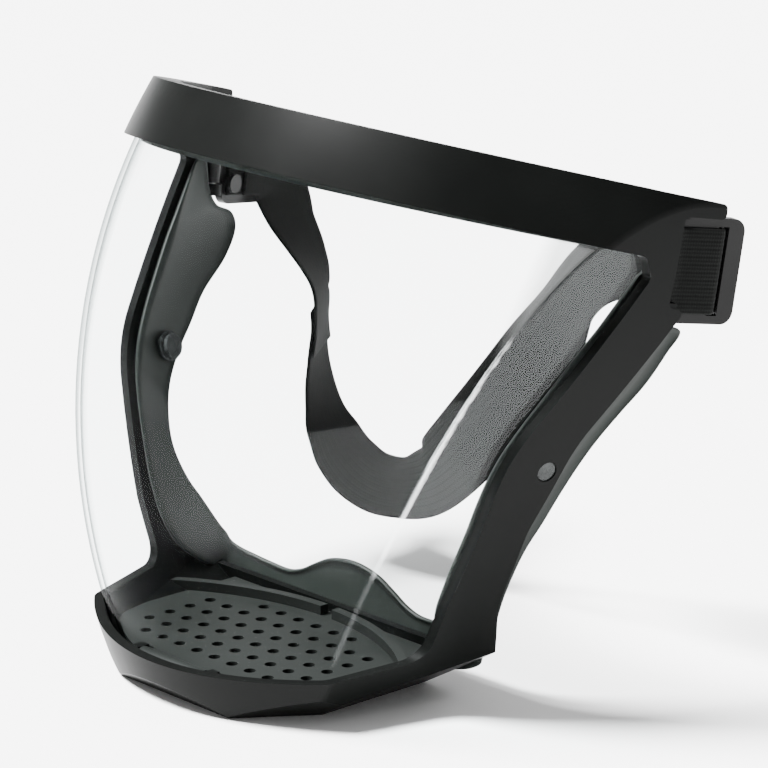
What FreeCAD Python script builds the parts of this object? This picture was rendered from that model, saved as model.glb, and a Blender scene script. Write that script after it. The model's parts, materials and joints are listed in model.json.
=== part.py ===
import FreeCAD, Part
import math
import os
import Sketcher
from FreeCAD import Placement, Rotation, Vector

# Full face shield: moulded frame, clear lens, soft face seal, chin breathing tray and head strap.
# X to the wearer's left, front towards -Y, Z up, standing on the underside of the chin tray.

doc = FreeCAD.newDocument("FaceShield")
sheet = doc.addObject("Spreadsheet::Sheet", "Sizes")

DIMENSIONS = [
    # visor envelope: a barrel that leans back, trimmed by two large side cylinders
    ("lean_angle", 38.15, "lean of the barrel axis, degrees"),
    ("barrel_radius", 116.4, "widest radius of the barrel"),
    ("barrel_arc", 205.0, "radius of the barrel's profile"),
    ("barrel_level", 136.1, "level of the widest section along the axis"),
    ("barrel_low", 40.0, "profile end below the axis origin"),
    ("barrel_high", 300.0, "profile end above the axis origin"),
    ("side_radius", 295.0, "radius of a side cylinder"),
    ("side_reach", 90.3, "side surface from the middle plane"),
    ("side_level", 149.3, "level where the side is widest"),
    ("side_toe", 12.73, "toe-out of the sides, degrees"),
    ("crease_round", 5.0, "rounding of the crease between front and side"),
    # walls, as depths below the outer surface
    ("frame_wall", 3.2, "frame wall"),
    ("lens_outer", 3.5, "lens outer face"),
    ("lens_inner", 5.0, "lens inner face"),
    ("seal_outer", 5.3, "seal outer face"),
    ("seal_inner", 7.3, "seal inner face"),
    ("liner_outer", 5.6, "brow liner outer face"),
    ("liner_inner", 7.8, "brow liner inner face"),
    ("tray_inset", 6.2, "grille edge below the outer surface"),
    # side view of the frame; y grows rearwards
    ("front_y", -70.0, "front end of the side outlines"),
    ("bandtop_z", 193.3, "band top line at the front end"),
    ("bandlow_z", 174.6, "band lower line at the front end"),
    ("tip_y", 76.5, "temple tip"),
    ("tip_z", 149.6, "temple tip"),
    ("finger_y", 76.2, "underside of the temple finger"),
    ("finger_z", 145.2, "underside of the temple finger"),
    ("notch_y", 62.6, "notch, upper corner"),
    ("notch_z", 147.8, "notch, upper corner"),
    ("notchlow_y", 58.6, "notch, lower corner"),
    ("notchlow_z", 121.8, "notch, lower corner"),
    ("armtop_y", 64.1, "arm rear edge, top"),
    ("armtop_z", 119.6, "arm rear edge, top"),
    ("armbend_y", 34.0, "arm rear edge, bend"),
    ("armbend_z", 83.0, "arm rear edge, bend"),
    ("armmid_y", 24.5, "arm rear edge, middle"),
    ("armmid_z", 57.0, "arm rear edge, middle"),
    ("armlow_y", 22.6, "arm rear edge, waist"),
    ("armlow_z", 33.0, "arm rear edge, waist"),
    ("heel_y", 28.6, "heel of the chin tray"),
    ("heel_z", 15.5, "heel of the chin tray"),
    ("sole_y", 25.0, "rear end of the sole"),
    ("rimfront_z", 11.7, "chin rim at the front end"),
    ("rim_y", 4.8, "window corner at the chin"),
    ("rim_z", 17.8, "window corner at the chin"),
    ("winlow_y", 5.2, "window rear edge, low"),
    ("winlow_z", 36.0, "window rear edge, low"),
    ("winbend_y", 12.0, "window rear edge, bend"),
    ("winbend_z", 81.5, "window rear edge, bend"),
    ("winrear_y", 52.0, "window rear edge, top"),
    ("winrear_z", 131.0, "window rear edge, top"),
    ("wintop_y", 50.5, "window top corner"),
    ("wintop_z", 137.6, "window top corner"),
    ("lens_lap", 4.5, "lens edge hidden behind the frame"),
    ("prism_width", 300.0, "width of the side-view prisms"),
    ("sheet_y", 90.0, "sketch origin in front of the part"),
    ("sheet_z", 30.0, "sketch origin under the part"),
    # roundings of the side outlines
    ("waist_round", 25.0, "arm rear edge at the waist and middle"),
    ("bend_round", 40.0, "arm rear edge at the bend"),
    ("corner_round", 1.6, "small outline corners"),
    ("rim_round", 6.5, "window corner at the chin"),
    ("window_round", 40.0, "window rear edge bends"),
    ("top_round", 3.2, "window top corners"),
    # sole of the chin tray
    ("sole_half", 40.0, "half width of the flat sole"),
    ("sole_front", 38.0, "flat sole in front of the origin"),
    ("sole_side", 16.0, "front end of the sole's straight side"),
    ("sole_nose", 24.0, "half width of the sole's front edge"),
    ("flare_height", 200.0, "height of the flare construction"),
    ("flare_half", 380.0, "flare half width at that height"),
    ("flare_front", 288.0, "flare front at that height"),
    ("flare_side", 62.7, "flare side end at that height"),
    ("flare_nose", 211.0, "flare nose half width at that height"),
    ("sole_wall", 3.2, "floor of the chin tray"),
    ("heel_wall", 2.6, "rear wall of the chin tray"),
    ("heel_top", 13.2, "top of the rear wall"),
    ("vent_length", 60.0, "opening in the floor, side to side"),
    ("vent_depth", 42.0, "opening in the floor, front to back"),
    ("vent_y", -7.0, "centre of the opening"),
    ("vent_round", 8.0, "corner of the opening"),
    # band top web and brow liner
    ("web_thick", 1.8, "web along the top of the band"),
    ("liner_drop", 3.0, "liner edge below the band"),
    ("liner_end", 47.0, "rear end of the brow liner"),
    # breathing grille
    ("grille_base", 8.8, "underside of the grille"),
    ("grille_thick", 2.0, "thickness of the grille"),
    ("grille_rear", 25.6, "rear edge of the grille"),
    ("hole_diameter", 3.6, "breathing hole"),
    ("hole_pitch", 8.0, "pitch of the breathing holes"),
    ("bead_height", 3.0, "rear bead above the grille"),
    ("bead_width", 3.0, "width of the rear bead"),
    ("bead_arc", 88.0, "radius of the bead in plan"),
    ("bead_notch", 5.0, "finger notch in the bead"),
    ("axle_y", -38.6, "grille hinge axis"),
    ("axle_z", 9.8, "grille hinge axis"),
    ("axle_diameter", 2.6, "grille hinge pin"),
    ("axle_length", 35.0, "grille hinge pin"),
    ("axle_clearance", 0.1, "radial clearance of the hinge pin"),
    ("lug_inner", 14.6, "inner face of a hinge lug from the middle"),
    ("lug_width", 3.2, "width of a hinge lug"),
    ("lug_front", -41.0, "front face of a hinge lug"),
    ("lug_depth", 5.0, "depth of a hinge lug"),
    ("lug_rise", 9.8, "height of a hinge lug"),
    ("lug_foot", 2.4, "underside of a hinge lug, inside the floor"),
    # filter
    ("pad_length", 66.0, "filter pad, side to side"),
    ("pad_depth", 48.0, "filter pad, front to back"),
    ("pad_base", 4.6, "underside of the filter pad"),
    ("pad_thick", 3.2, "thickness of the filter pad"),
    ("cover_flange", 2.5, "cover flange beyond the opening"),
    ("cover_gap", 0.4, "gap round the cover"),
    ("cover_thick", 1.2, "cover flange thickness"),
    ("cover_base", 0.0, "underside of the cover, flush with the sole"),
    ("slot_width", 3.0, "breathing slot in the cover"),
    ("slot_length", 34.0, "breathing slot in the cover"),
    ("slot_pitch", 6.5, "pitch of the slots"),
    # lens studs
    ("stud_y", 26.2, "stud centre"),
    ("stud_z", 76.2, "stud centre"),
    ("stud_shank", 5.8, "stud shank diameter"),
    ("stud_bore", 6.2, "stud bore diameter"),
    ("stud_sink", 0.4, "stud face below the frame"),
    ("stud_length", 8.9, "stud shank length"),
    ("stud_head", 7.6, "stud inner head diameter"),
    ("stud_head_thick", 1.2, "stud inner head thickness"),
    ("ear_radius", 4.4, "lens ear round the stud"),
    ("washer_diameter", 9.6, "washer outside diameter"),
    ("washer_bore", 6.0, "washer bore diameter"),
    ("washer_thick", 1.1, "washer thickness"),
    ("washer_depth", 7.6, "washer outer face below the frame surface"),
    # temple hinge and buckle
    ("hinge_y", 60.4, "buckle hinge centre"),
    ("hinge_z", 134.4, "buckle hinge centre"),
    ("hinge_depth", 7.6, "hinge axis below the outer surface"),
    ("hinge_lean", 9.0, "lean of the hinge axis, degrees"),
    ("hinge_pin", 2.4, "hinge pin diameter"),
    ("hinge_clearance", 0.08, "radial clearance of the hinge pin"),
    ("knuckle_diameter", 5.0, "buckle knuckle diameter"),
    ("knuckle_length", 23.6, "buckle knuckle length"),
    ("lug_gap", 0.4, "gap between knuckle and lug"),
    ("pin_seat", 2.8, "depth of the pin in each lug"),
    ("press_gap", 0.02, "radial gap of a pressed pin"),
    ("lug_height", 3.6, "height of a temple lug"),
    ("lug_diameter", 6.4, "temple lug diameter"),
    ("buckle_thick", 2.8, "buckle plate thickness"),
    ("buckle_start", 3.6, "buckle plate front edge behind the axis"),
    ("buckle_length", 22.6, "buckle plate length"),
    ("buckle_height", 31.0, "buckle plate height"),
    ("buckle_drop", 3.4, "buckle plate centre below the hinge centre"),
    ("buckle_round", 4.0, "buckle plate corner"),
    ("buckle_slot", 3.6, "webbing slot width"),
    ("buckle_bar", 5.6, "plate left behind the slot"),
    ("web_width", 25.0, "strap webbing width"),
    ("web_gauge", 1.4, "strap webbing thickness"),
    ("web_start", 4.2, "front end of the loop behind the hinge axis"),
    ("web_gap", 0.25, "gap between webbing and plate"),
    ("rivet_diameter", 6.0, "strap rivet head diameter"),
    ("rivet_shank", 2.8, "strap rivet shank diameter"),
    ("rivet_back", 7.0, "strap rivet behind the hinge axis"),
    ("rivet_low", 8.6, "strap rivet below the plate centre"),
    # seal
    ("sealtop_z", 112.6, "top of the face seal"),
    ("flap_y", 29.0, "chin flap of the seal"),
    ("flap_thick", 2.2, "thickness of the chin flap"),
    ("flap_base", 3.5, "lower edge of the chin flap"),
    ("flap_low", 15.5, "chin flap beside the hump"),
    ("flap_high", 25.0, "top of the chin hump"),
    ("hump_half", 20.0, "half width of the chin hump"),
    # hanging strap
    ("strap_y", 92.0, "plane of the hanging strap"),
]

size = {}
for row, (alias, value, note) in enumerate(DIMENSIONS, 1):
    sheet.set("A%d" % row, alias)
    sheet.set("B%d" % row, "%g" % value)
    sheet.set("C%d" % row, note)
    sheet.setAlias("B%d" % row, alias)
    size[alias] = value
doc.recompute()

SIDE_VIEW = Rotation(Vector(0, 1, 0), Vector(0, 0, 1), Vector(1, 0, 0), "ZXY")
FRONT_VIEW = Rotation(Vector(1, 0, 0), Vector(0, 0, 1), Vector(0, -1, 0), "ZXY")
EXPORT = []


def bind(obj, **links):
    """Bind properties of an object to cells of the sheet."""
    for prop, text in links.items():
        obj.setExpression(prop.replace("__", "."), text)


def place(obj, point, rotation=Rotation()):
    obj.Placement = Placement(Vector(*point), rotation)
    return obj


def publish(obj, label):
    """Make an object a named sub-part."""
    copy = obj
    copy.Label = label
    EXPORT.append((label, copy))
    return copy


def boolean(kind, name, base, tool):
    obj = doc.addObject("Part::" + kind, name)
    obj.Base = base
    obj.Tool = tool
    obj.Refine = True
    return obj


def join(name, shapes):
    obj = doc.addObject("Part::MultiFuse", name)
    obj.Shapes = shapes
    obj.Refine = True
    return obj


def overlap(name, shapes):
    obj = doc.addObject("Part::MultiCommon", name)
    obj.Shapes = shapes
    obj.Refine = True
    return obj


def box(name, length, width, height, point):
    obj = doc.addObject("Part::Box", name)
    bind(obj, Length=length, Width=width, Height=height)
    return place(obj, point)


def cylinder(name, radius, height, point, rotation=Rotation()):
    obj = doc.addObject("Part::Cylinder", name)
    bind(obj, Radius=radius, Height=height)
    return place(obj, point, rotation)


def cell(base, lap="", factor=0.0):
    """A coordinate as an expression and its value, with an optional multiple of a second cell."""
    if not lap:
        return "Sizes." + base, size[base]
    return "Sizes.%s + (%g) * Sizes.%s" % (base, factor, lap), size[base] + factor * size[lap]


def side_prism(name, corners, roundings=()):
    """A prism along X from a side-view polygon whose corners are cells, with rounded corners."""
    body = doc.addObject("PartDesign::Body", name)
    sketch = body.newObject("Sketcher::SketchObject", name + "Outline")
    place(sketch, (0, -size["sheet_y"], -size["sheet_z"]), SIDE_VIEW)
    points = [Vector(u[1] + size["sheet_y"], v[1] + size["sheet_z"], 0) for u, v in corners]
    count = len(points)
    for i in range(count):
        sketch.addGeometry(Part.LineSegment(points[i], points[(i + 1) % count]))
    for i in range(count):
        sketch.addConstraint(Sketcher.Constraint("Coincident", i, 2, (i + 1) % count, 1))
    for i, (u, v) in enumerate(corners):
        n = sketch.addConstraint(Sketcher.Constraint("DistanceX", -1, 1, i, 1, points[i].x))
        sketch.setExpression("Constraints[%d]" % n, u[0] + " + Sizes.sheet_y")
        n = sketch.addConstraint(Sketcher.Constraint("DistanceY", -1, 1, i, 1, points[i].y))
        sketch.setExpression("Constraints[%d]" % n, v[0] + " + Sizes.sheet_z")
    pad = body.newObject("PartDesign::Pad", name + "Pad")
    pad.Profile = sketch
    pad.Midplane = True
    bind(pad, Length="Sizes.prism_width")
    doc.recompute()
    for k, (radius, indices) in enumerate(roundings):
        spots = [(corners[i][0][1], corners[i][1][1]) for i in indices]
        base = body.Tip
        names = []
        for j, edge in enumerate(base.Shape.Edges, 1):
            ends = [w.Point for w in edge.Vertexes]
            if len(ends) != 2 or abs(ends[0].x - ends[1].x) < size["prism_width"] / 2:
                continue
            if any(math.hypot(ends[0].y - y, ends[0].z - z) < 0.01 for y, z in spots):
                names.append("Edge%d" % j)
        fillet = body.newObject("PartDesign::Fillet", "%sRound%d" % (name, k))
        fillet.Base = (base, names)
        bind(fillet, Radius="Sizes." + radius)
        doc.recompute()
    return body


def barrel(name, depth):
    """The front of the visor: an arc turned about the leaning axis."""
    sketch = doc.addObject("Sketcher::SketchObject", name + "Profile")
    place(sketch, (0, 0, 0), SIDE_VIEW)
    arc = size["barrel_arc"] - size.get(depth, 0.0)
    centre = Vector(size["barrel_radius"] - size["barrel_arc"], size["barrel_level"], 0)
    low = -size["barrel_low"]
    high = size["barrel_high"]
    a0 = math.asin((low - centre.y) / arc)
    a1 = math.asin((high - centre.y) / arc)
    x0 = centre.x + arc * math.cos(a0)
    x1 = centre.x + arc * math.cos(a1)
    circle = Part.Circle(centre, Vector(0, 0, 1), arc)
    sketch.addGeometry(Part.ArcOfCircle(circle, a0, a1))
    sketch.addGeometry(Part.LineSegment(Vector(x1, high, 0), Vector(0, high, 0)))
    sketch.addGeometry(Part.LineSegment(Vector(0, high, 0), Vector(0, low, 0)))
    sketch.addGeometry(Part.LineSegment(Vector(0, low, 0), Vector(x0, low, 0)))
    for a, b in ((0, 1), (1, 2), (2, 3)):
        sketch.addConstraint(Sketcher.Constraint("Coincident", a, 2, b, 1))
    sketch.addConstraint(Sketcher.Constraint("Coincident", 3, 2, 0, 1))
    sketch.addConstraint(Sketcher.Constraint("Horizontal", 1))
    sketch.addConstraint(Sketcher.Constraint("Horizontal", 3))
    sketch.addConstraint(Sketcher.Constraint("PointOnObject", 2, 1, -2))
    sketch.addConstraint(Sketcher.Constraint("PointOnObject", 2, 2, -2))
    below = "Sizes." + depth if depth else "0"
    for kind, first, second, value, text in (
        ("DistanceX", (0, 3), (-1, 1), -centre.x, "Sizes.barrel_arc - Sizes.barrel_radius"),
        ("DistanceY", (-1, 1), (0, 3), centre.y, "Sizes.barrel_level"),
        ("DistanceY", (2, 2), (-1, 1), -low, "Sizes.barrel_low"),
        ("DistanceY", (-1, 1), (2, 1), high, "Sizes.barrel_high"),
    ):
        n = sketch.addConstraint(Sketcher.Constraint(kind, *first, *second, value))
        sketch.setExpression("Constraints[%d]" % n, text)
    n = sketch.addConstraint(Sketcher.Constraint("Radius", 0, arc))
    sketch.setExpression("Constraints[%d]" % n, "Sizes.barrel_arc - " + below)
    turned = doc.addObject("Part::Revolution", name)
    turned.Source = sketch
    turned.Axis = Vector(0, 0, 1)
    turned.Base = Vector(0, 0, 0)
    turned.Angle = 360
    turned.Solid = True
    turned.Placement = Placement(Vector(), Rotation(Vector(1, 0, 0), -size["lean_angle"]))
    turned.setExpression("Placement.Rotation.Angle", "-Sizes.lean_angle")
    return turned


def side_cylinder(name, depth, sign):
    """One side of the visor: a large cylinder that toes out towards the temple."""
    toe = math.radians(size["side_toe"])
    along = Vector(sign * math.sin(toe), math.cos(toe), 0)
    outward = Vector(sign * math.cos(toe), -math.sin(toe), 0)
    centre = outward * (size["side_reach"] - size["side_radius"]) + Vector(0, 0, size["side_level"])
    start = centre - along * 300
    obj = doc.addObject("Part::Cylinder", name)
    below = "Sizes." + depth if depth else "0"
    bind(obj, Radius="Sizes.side_radius - " + below, Height="2 * Sizes.prism_width")
    return place(obj, start, Rotation(Vector(0, 0, 1), along))


def envelope(name, depth=""):
    """The visor solid at a depth below its outer surface, with its creases rounded."""
    parts = [
        barrel(name + "Barrel", depth),
        side_cylinder(name + "SideLeft", depth, 1),
        side_cylinder(name + "SideRight", depth, -1),
    ]
    solid = overlap(name, parts)
    doc.recompute()
    creases = []
    for i, edge in enumerate(solid.Shape.Edges, 1):
        middle = edge.valueAt((edge.FirstParameter + edge.LastParameter) / 2)
        if edge.Length > 100 and abs(middle.x) > 20:
            creases.append((i, size["crease_round"], size["crease_round"]))
    rounded = doc.addObject("Part::Fillet", name + "Rounded")
    rounded.Base = solid
    rounded.Edges = creases
    doc.recompute()
    return rounded



def flare(name, lift):
    """The under-chin shape: the flat sole opening outwards up to the visor walls."""
    body = doc.addObject("PartDesign::Body", name)
    rings = (
        ("sole_half", "sole_front", "sole_side", "sole_nose", 0.0, 70.0),
        ("flare_half", "flare_front", "flare_side", "flare_nose", size["flare_height"], 300.0),
    )
    sketches = []
    for k, (half, front, side, nose, level, rear) in enumerate(rings):
        sketch = body.newObject("Sketcher::SketchObject", "%sRing%d" % (name, k))
        place(sketch, (0, 0, level))
        points = [
            Vector(size[half], rear, 0),
            Vector(size[half], -size[side], 0),
            Vector(size[nose], -size[front], 0),
            Vector(-size[nose], -size[front], 0),
            Vector(-size[half], -size[side], 0),
            Vector(-size[half], rear, 0),
        ]
        for j in range(6):
            sketch.addGeometry(Part.LineSegment(points[j], points[(j + 1) % 6]))
        for j in range(6):
            sketch.addConstraint(Sketcher.Constraint("Coincident", j, 2, (j + 1) % 6, 1))
        for j, mate in ((0, 5), (1, 4), (2, 3)):
            sketch.addConstraint(Sketcher.Constraint("Symmetric", j, 1, mate, 1, -2))
        for kind, corner, value, text in (
            ("DistanceX", 1, size[half], "Sizes." + half),
            ("DistanceX", 2, size[nose], "Sizes." + nose),
            ("DistanceX", 0, size[half], "Sizes." + half),
            ("DistanceY", 0, rear, ""),
        ):
            n = sketch.addConstraint(Sketcher.Constraint(kind, -1, 1, corner, 1, value))
            if text:
                sketch.setExpression("Constraints[%d]" % n, text)
        for corner, value, text in (
            (1, size[side], "Sizes." + side),
            (2, size[front], "Sizes." + front),
        ):
            n = sketch.addConstraint(Sketcher.Constraint("DistanceY", corner, 1, -1, 1, value))
            sketch.setExpression("Constraints[%d]" % n, text)
        sketches.append(sketch)
    loft = body.newObject("PartDesign::AdditiveLoft", name + "Loft")
    loft.Profile = sketches[0]
    loft.Sections = [sketches[1]]
    loft.Ruled = True
    doc.recompute()
    body.Placement = Placement(Vector(0, 0, lift), Rotation())
    doc.recompute()
    return body


def rounded_block(name, length, depth, height, radius, point, local=Rotation()):
    """A block with rounded vertical corners, centred on its point."""
    body = doc.addObject("PartDesign::Body", name)
    sketch = body.newObject("Sketcher::SketchObject", name + "Outline")
    a = Vector(-10, -10, 0)
    b = Vector(10, -10, 0)
    c = Vector(10, 10, 0)
    d = Vector(-10, 10, 0)
    for p, q in ((a, b), (b, c), (c, d), (d, a)):
        sketch.addGeometry(Part.LineSegment(p, q))
    for j in range(4):
        sketch.addConstraint(Sketcher.Constraint("Coincident", j, 2, (j + 1) % 4, 1))
    for line in (0, 2):
        sketch.addConstraint(Sketcher.Constraint("Horizontal", line))
    for line in (1, 3):
        sketch.addConstraint(Sketcher.Constraint("Vertical", line))
    sketch.addConstraint(Sketcher.Constraint("Symmetric", 0, 1, 1, 2, -1, 1))
    n = sketch.addConstraint(Sketcher.Constraint("DistanceX", 0, 1, 0, 2, 20))
    sketch.setExpression("Constraints[%d]" % n, length)
    n = sketch.addConstraint(Sketcher.Constraint("DistanceY", 1, 1, 1, 2, 20))
    sketch.setExpression("Constraints[%d]" % n, depth)
    pad = body.newObject("PartDesign::Pad", name + "Pad")
    pad.Profile = sketch
    bind(pad, Length=height)
    doc.recompute()
    names = []
    for j, edge in enumerate(pad.Shape.Edges, 1):
        ends = [w.Point for w in edge.Vertexes]
        if abs(ends[0].z - ends[1].z) > 1e-6:
            names.append("Edge%d" % j)
    fillet = body.newObject("PartDesign::Fillet", name + "Round")
    fillet.Base = (pad, names)
    bind(fillet, Radius=radius)
    body.Placement = Placement(Vector(*point), local)
    doc.recompute()
    return body


def side_frame(y, z, depth, sign):
    """Point below the side surface at (y, z), with the outward and rearward directions there."""
    toe = math.radians(size["side_toe"])
    up = z - size["side_level"]
    reach = size["side_reach"] - size["side_radius"] + math.sqrt(size["side_radius"] ** 2 - up ** 2)
    x = (reach + y * math.sin(toe)) / math.cos(toe)
    tilt = math.asin(up / size["side_radius"])
    normal = Vector(math.cos(toe) * math.cos(tilt), -math.sin(toe) * math.cos(tilt), math.sin(tilt))
    point = Vector(x, y, z) - normal * depth
    if sign < 0:
        point.x = -point.x
        normal.x = -normal.x
    rear = Vector(sign * math.sin(toe), math.cos(toe), 0)
    return point, normal, rear


# ---- visor envelopes at their depths
outer = envelope("Outer")
inner = envelope("Inner", "frame_wall")
lens_out = envelope("LensOuter", "lens_outer")
lens_in = envelope("LensInner", "lens_inner")
seal_out = envelope("SealOuter", "seal_outer")
seal_in = envelope("SealInner", "seal_inner")
liner_out = envelope("LinerOuter", "liner_outer")
liner_in = envelope("LinerInner", "liner_inner")
tray_in = envelope("TrayInner", "tray_inset")

# ---- side-view outlines
FRONT = cell("front_y")
frame_outline = side_prism("FrameOutline", [
    (FRONT, cell("sole_wall", "sole_wall", -1.0)),
    (cell("sole_y"), cell("sole_wall", "sole_wall", -1.0)),
    (cell("heel_y"), cell("heel_z", "sole_wall", -2.0)),
    (cell("heel_y"), cell("heel_z")),
    (cell("armlow_y"), cell("armlow_z")),
    (cell("armmid_y"), cell("armmid_z")),
    (cell("armbend_y"), cell("armbend_z")),
    (cell("armtop_y"), cell("armtop_z")),
    (cell("notchlow_y"), cell("notchlow_z")),
    (cell("notch_y"), cell("notch_z")),
    (cell("finger_y"), cell("finger_z")),
    (cell("tip_y"), cell("tip_z")),
    (FRONT, cell("bandtop_z")),
], [("waist_round", (4, 5)), ("bend_round", (6,)), ("corner_round", (3, 7, 8, 9, 10, 11))])

window = side_prism("Window", [
    (FRONT, cell("rimfront_z")),
    (cell("rim_y"), cell("rim_z")),
    (cell("winlow_y"), cell("winlow_z")),
    (cell("winbend_y"), cell("winbend_z")),
    (cell("winrear_y"), cell("winrear_z")),
    (cell("wintop_y"), cell("wintop_z")),
    (FRONT, cell("bandlow_z")),
], [("window_round", (3,)), ("rim_round", (1,)), ("top_round", (4, 5))])

lens_outline = side_prism("LensOutline", [
    (FRONT, cell("rimfront_z", "lens_lap", -1.0)),
    (cell("rim_y", "lens_lap", 1.0), cell("rim_z", "lens_lap", -1.0)),
    (cell("winlow_y", "lens_lap", 1.0), cell("winlow_z")),
    (cell("winbend_y", "lens_lap", 1.05), cell("winbend_z", "lens_lap", -0.3)),
    (cell("winrear_y", "lens_lap", 0.95), cell("winrear_z", "lens_lap", -0.4)),
    (cell("wintop_y", "lens_lap", 0.8), cell("wintop_z", "lens_lap", 0.85)),
    (FRONT, cell("bandlow_z", "lens_lap", 1.0)),
], [("window_round", (3,)), ("rim_round", (1,)), ("top_round", (4, 5))])

seal_outline = side_prism("SealOutline", [
    (cell("winlow_y", "lens_lap", 0.9), cell("heel_top", "sole_wall", 0.6)),
    (cell("winlow_y", "lens_lap", 0.9), cell("winlow_z")),
    (cell("winbend_y", "lens_lap", 0.9), cell("winbend_z")),
    (cell("winrear_y", "lens_lap", -0.7), cell("sealtop_z")),
    (cell("armtop_y", "lens_lap", 1.1), cell("sealtop_z")),
    (cell("armbend_y", "lens_lap", 2.5), cell("armbend_z")),
    (cell("armmid_y", "lens_lap", 2.2), cell("armmid_z")),
    (cell("armlow_y", "lens_lap", 1.5), cell("armlow_z")),
    (cell("heel_y", "lens_lap", 0.7), cell("heel_top", "sole_wall", 0.6)),
], [("waist_round", (6, 7)), ("bend_round", (2, 5))])

band_outline = side_prism("BandOutline", [
    (FRONT, cell("bandtop_z", "web_thick", -1.0)),
    (cell("notchlow_y"), cell("notch_z", "web_thick", 2.3)),
    (cell("notchlow_y"), cell("notch_z", "web_thick", 9.0)),
    (FRONT, cell("bandtop_z", "web_thick", 9.0)),
])

liner_outline = side_prism("LinerOutline", [
    (FRONT, cell("bandlow_z", "liner_drop", -1.0)),
    (cell("liner_end"), cell("wintop_z", "liner_drop", 0.3)),
    (cell("liner_end"), cell("notch_z", "liner_drop", 2.4)),
    (FRONT, cell("bandtop_z", "web_thick", -1.1)),
])

# ---- frame: one moulding of brow band, temples, arms and chin tray
flare_out = flare("FlareOuter", 0)
flare_in = flare("FlareInner", size["sole_wall"])
tray_room = side_prism("TrayRoom", [
    (FRONT, cell("sole_wall")),
    (cell("heel_y", "heel_wall", -1.0), cell("sole_wall")),
    (cell("heel_y", "heel_wall", -1.0), cell("heel_top")),
    (cell("prism_width", "sheet_y", -2.0), cell("heel_top")),
    (cell("prism_width", "sheet_y", -2.0), cell("prism_width")),
    (FRONT, cell("prism_width")),
])
skin = overlap("FrameSkin", [outer, flare_out, frame_outline])
hollow = overlap("FrameHollow", [inner, flare_in, tray_room])
doc.recompute()
shell = boolean("Cut", "FrameShell", skin, hollow)
opened = boolean("Cut", "FrameOpened", shell, window)
doc.recompute()

web_skin = overlap("WebSkin", [outer, frame_outline, band_outline])
web = boolean("Cut", "BandWeb", web_skin, liner_in)

lugs = []
bores = []
for k, sign in enumerate((-1, 1)):
    start = sign * size["lug_inner"] - (size["lug_width"] if sign < 0 else 0)
    lugs.append(box("HingeLug%d" % k, "Sizes.lug_width", "Sizes.lug_depth", "Sizes.lug_rise",
                    (start, size["lug_front"], size["lug_foot"])))
    bores.append(cylinder(
        "HingeLugBore%d" % k, "Sizes.axle_diameter / 2 + Sizes.axle_clearance",
        "Sizes.lug_width + 2", (start - 1, size["axle_y"], size["axle_z"]),
        Rotation(Vector(0, 1, 0), 90)))

temple_lugs = []
temple_bores = []
for k, sign in enumerate((-1, 1)):
    point, normal, rear = side_frame(size["hinge_y"], size["hinge_z"], size["hinge_depth"], sign)
    flat = Vector(normal.x, normal.y, 0).normalize()
    lean = math.radians(size["hinge_lean"])
    up = Vector(0, 0, 1) * math.cos(lean) + rear * math.sin(lean)
    across = flat.cross(up)
    half = size["knuckle_length"] / 2 + size["lug_gap"]
    for j, end in enumerate((-1, 1)):
        start = point + up * (half if end > 0 else -half - size["lug_height"])
        temple_lugs.append(cylinder("TempleLug%d%d" % (k, j), "Sizes.lug_diameter / 2",
                                    "Sizes.lug_height", start, Rotation(Vector(0, 0, 1), up)))
        arm = box("TempleLugArm%d%d" % (k, j), "Sizes.lug_diameter",
                  "Sizes.hinge_depth - Sizes.frame_wall / 2", "Sizes.lug_height", (0, 0, 0))
        corner = start - across * (size["lug_diameter"] / 2)
        arm.Placement = Placement(corner, Rotation(across, flat, up, "ZXY"))
        temple_lugs.append(arm)
    # the pin holes stop short of the lugs' outer faces
    temple_bores.append(cylinder(
        "TempleBore%d" % k, "Sizes.hinge_pin / 2 + Sizes.press_gap",
        "Sizes.knuckle_length + 2 * Sizes.lug_gap + 2 * Sizes.pin_seat",
        point - up * (half + size["pin_seat"]), Rotation(Vector(0, 0, 1), up)))

stud_axes = {}
stud_bores = []
ears = []
for k, sign in enumerate((-1, 1)):
    point, normal, rear = side_frame(size["stud_y"], size["stud_z"], 0.0, sign)
    stud_axes[sign] = (point, normal)
    turn = Rotation(Vector(0, 0, 1), normal * -1)
    stud_bores.append(cylinder("StudBore%d" % k, "Sizes.stud_bore / 2", "Sizes.washer_depth + 2",
                               point + normal * 1, turn))
    ears.append(cylinder("LensEar%d" % k, "Sizes.ear_radius", "Sizes.washer_depth + 2",
                         point + normal * 1, turn))
doc.recompute()

frame_solid = join("FrameSolid", [opened, web] + lugs + temple_lugs)
vent = rounded_block("FloorVent", "Sizes.vent_length", "Sizes.vent_depth", "Sizes.sole_wall * 3",
                     "Sizes.vent_round", (0, size["vent_y"], -size["sole_wall"]))
frame_cuts = join("FrameCuts", bores + temple_bores + stud_bores + [vent])
frame = boolean("Cut", "Frame", frame_solid, frame_cuts)
doc.recompute()


def shell_piece(name, outside, inside, outline):
    """The part of a wall between two envelopes that lies inside a side-view outline."""
    wall = boolean("Cut", name + "Wall", outside, inside)
    return overlap(name, [wall, outline])


# ---- lens: one clear sheet behind the frame, with an ear for each stud
tab = side_prism("LensTab", [
    (cell("winbend_y"), cell("stud_z", "ear_radius", -1.0)),
    (cell("stud_y"), cell("stud_z", "ear_radius", -1.0)),
    (cell("stud_y"), cell("stud_z", "ear_radius", 1.0)),
    (cell("winbend_y"), cell("stud_z", "ear_radius", 1.0)),
])
lens_area = join("LensArea", [lens_outline, tab] + ears)
lens_sheet = shell_piece("LensSheet", lens_out, lens_in, lens_area)
stud_holes = join("StudHoles", stud_bores)
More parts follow.
